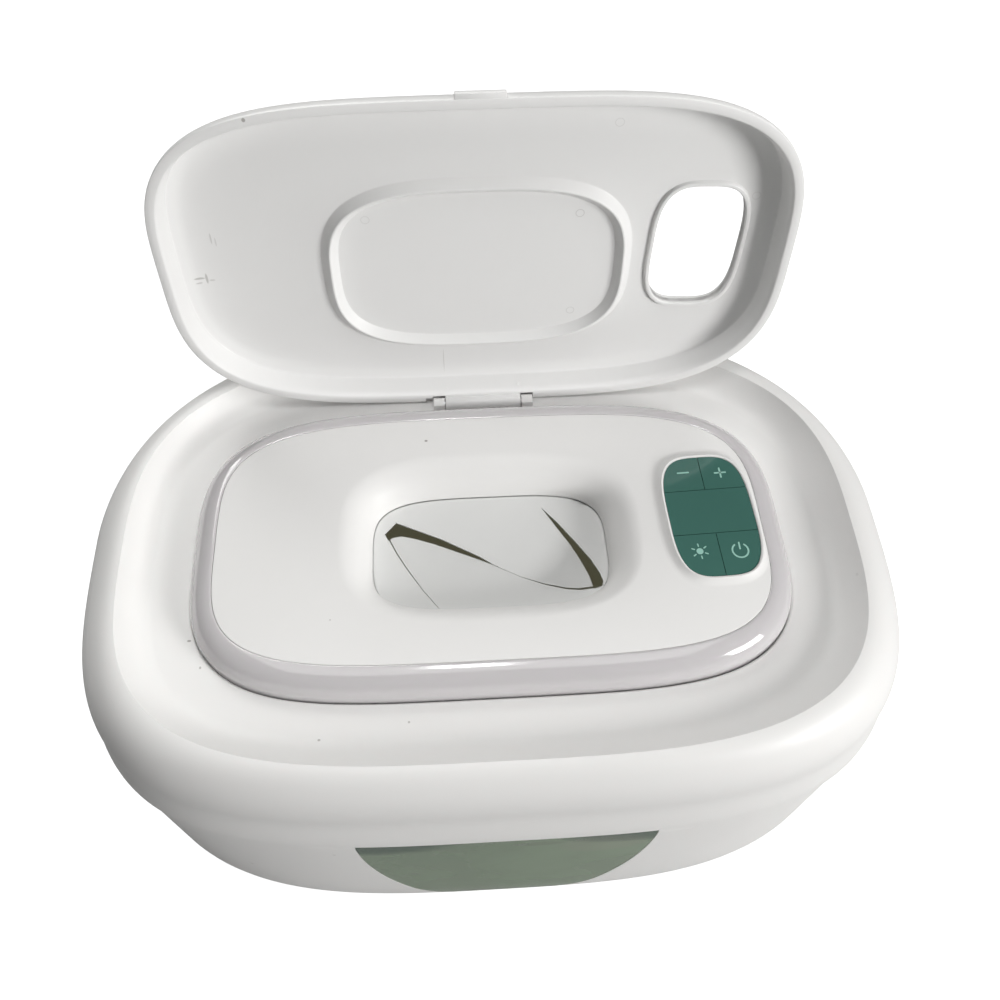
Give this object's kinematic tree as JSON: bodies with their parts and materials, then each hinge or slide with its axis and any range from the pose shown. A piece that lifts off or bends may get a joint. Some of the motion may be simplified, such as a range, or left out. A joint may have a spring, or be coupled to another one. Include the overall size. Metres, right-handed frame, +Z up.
{
  "type": "baby wipe warmer",
  "caption": "Oval baby wipe warmer with a flip lid, a light ring, a slotted dispensing flap, touch keys, a translucent front window and a hinged cover.",
  "frame": {"origin": "on the table under the middle of the part's bounding box, with the flip lid open", "axes": "+X to the user's right along the long side, +Y to the back, +Z up"},
  "size_m": [0.254, 0.1922, 0.2272],
  "materials": {
    "shell_white": "fine matte grain",
    "panel_white": "fine satin grain",
    "ring_clear": "glossy translucent diffuser",
    "window_green": "translucent sage green",
    "glass_green": "dark green gloss",
    "flap_grey": "soft silicone",
    "inner_white": "natural satin",
    "foot_grey": "soft matte",
    "seal_grey": "soft matte",
    "steel": "plated",
    "aluminium": "rolled sheet",
    "film_amber": "polyimide film",
    "pad_grey": "felted fibre",
    "ceramic": "glazed ceramic",
    "probe_black": "epoxy coated",
    "board_green": "solder mask",
    "inlet_dark": "satin",
    "display_dark": "gloss",
    "led_yellow": "phosphor cap"
  },
  "bodies": {
    "base": {"base_shell": "shell_white", "view_window": "window_green", "bottom_plate": "inner_white", "rubber_feet": "foot_grey", "base_screws": "steel", "inner_tank": "inner_white", "heater_plate": "aluminium", "heating_film": "film_amber", "insulation_pad": "pad_grey", "thermal_fuse": "ceramic", "thermistor": "probe_black", "power_board": "board_green", "power_inlet": "inlet_dark", "hinge_bracket": "shell_white", "cover_hinge_pin": "steel"},
    "cover": {"cover_shell": "shell_white", "hinge_leaf": "shell_white", "light_ring": "ring_clear", "top_panel": "panel_white", "dispensing_flap": "flap_grey", "flap_retainer": "inner_white", "cover_liner": "inner_white", "cover_seal": "seal_grey", "liner_screws": "steel", "led_strip": "board_green", "leds": "led_yellow", "display_lens": "glass_green", "display_module": "display_dark", "control_board": "board_green", "board_screws": "steel", "lid_hinge_pin": "steel"},
    "lid": {"flip_lid": "shell_white"},
    "minus": {"minus_key": "glass_green"},
    "plus": {"plus_key": "glass_green"},
    "light": {"light_key": "glass_green"},
    "power": {"power_key": "glass_green"}
  },
  "joints": [
    {"name": "cover_hinge", "type": "hinge", "parent": "base", "child": "cover", "pos_m": [0, 0.0923, 0.0875], "axis": [-1, 0, 0], "range_deg": [0, 90]},
    {"name": "lid_hinge", "type": "hinge", "parent": "cover", "child": "lid", "pos_m": [0.0008, 0.0429, 0.117], "axis": [1, 0, 0], "range_deg": [0, 98]},
    {"name": "minus_press", "type": "slide", "parent": "cover", "child": "minus", "axis": [0, 0, -1], "range_m": [0, 0.0005], "stiffness_N_per_m": 400, "springref_m": -0.0005},
    {"name": "plus_press", "type": "slide", "parent": "cover", "child": "plus", "axis": [0, 0, -1], "range_m": [0, 0.0005], "stiffness_N_per_m": 400, "springref_m": -0.0005},
    {"name": "light_press", "type": "slide", "parent": "cover", "child": "light", "axis": [0, 0, -1], "range_m": [0, 0.0005], "stiffness_N_per_m": 400, "springref_m": -0.0005},
    {"name": "power_press", "type": "slide", "parent": "cover", "child": "power", "axis": [0, 0, -1], "range_m": [0, 0.0005], "stiffness_N_per_m": 400, "springref_m": -0.0005}
  ]
}
